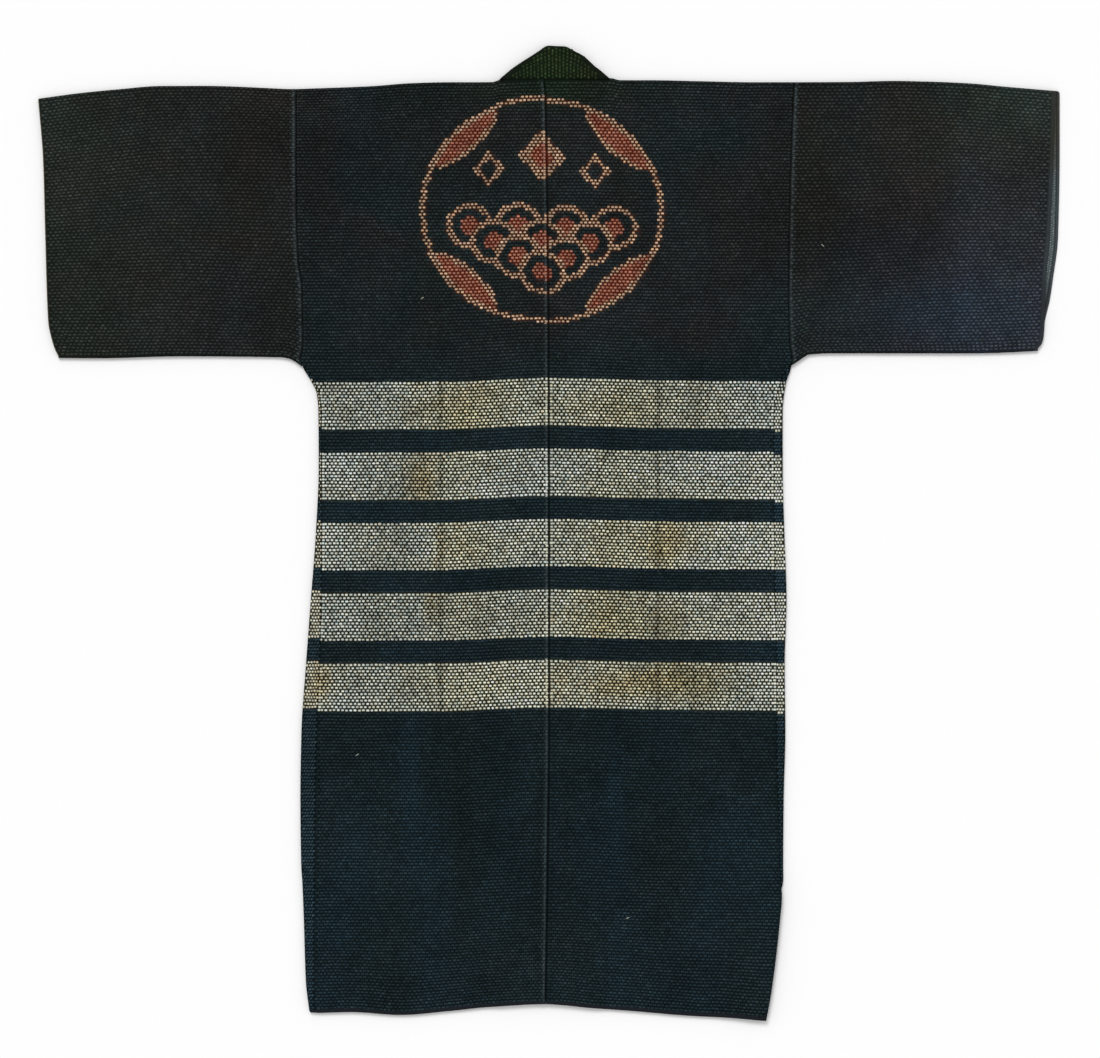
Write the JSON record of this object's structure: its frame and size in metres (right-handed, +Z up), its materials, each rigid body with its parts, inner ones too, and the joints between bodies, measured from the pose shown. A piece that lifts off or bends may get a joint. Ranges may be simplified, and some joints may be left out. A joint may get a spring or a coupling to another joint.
{
  "type": "japanese fireman coat",
  "caption": "Quilted indigo cotton work coat laid flat back up, with straight sleeves, a standing folded collar band, pale dyed stripes and a round device on the back.",
  "frame": {"origin": "middle of the coat's bounding box, on the surface that the coat lies on", "axes": "+X across the coat to the right as seen from above, +Y from the hem towards the collar, +Z up from the surface, with the back of the coat facing +Z"},
  "size_m": [1.225, 1.1686, 0.0096],
  "materials": {
    "panel_cloth": "matte stitched cotton with pale dyed stripes",
    "sleeve_cloth": "matte stitched cotton",
    "side_strip_cloth": "matte stitched cotton with pale dyed stripes",
    "collar_cloth": "matte stitched cotton"
  },
  "bodies": {
    "root": {"body_left": "panel_cloth", "body_right": "panel_cloth", "sleeve_left": "sleeve_cloth", "sleeve_right": "sleeve_cloth", "gusset_left": "side_strip_cloth", "gusset_right": "side_strip_cloth", "collar": "collar_cloth"}
  },
  "joints": []
}
